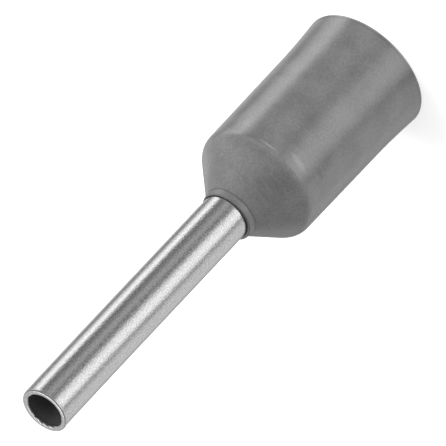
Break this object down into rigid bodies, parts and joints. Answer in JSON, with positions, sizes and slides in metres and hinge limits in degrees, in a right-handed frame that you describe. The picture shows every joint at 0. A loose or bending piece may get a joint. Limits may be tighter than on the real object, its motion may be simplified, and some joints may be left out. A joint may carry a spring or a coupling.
{
  "type": "wire ferrule",
  "caption": "Insulated wire ferrule: a thin tinned copper barrel with a funnel end, held in a grey moulded plastic collar with a conical shoulder, a small lip round the barrel and a slightly flared mouth.",
  "frame": {"origin": "centre of the collar's mouth, in the plane of its rim", "axes": "+Z along the axis, from the collar's mouth up to the barrel's open tip; X and Y are free, because the part is a shape of revolution"},
  "size_m": [0.0036, 0.0036, 0.014],
  "materials": {
    "tinned_copper": "bright tin plating, faintly mottled, with fine dark streaks round the barrel",
    "grey_plastic": "satin moulded grey, with small scuffs at the shoulder"
  },
  "bodies": {
    "root": {"barrel": "tinned_copper", "collar": "grey_plastic"}
  },
  "joints": []
}
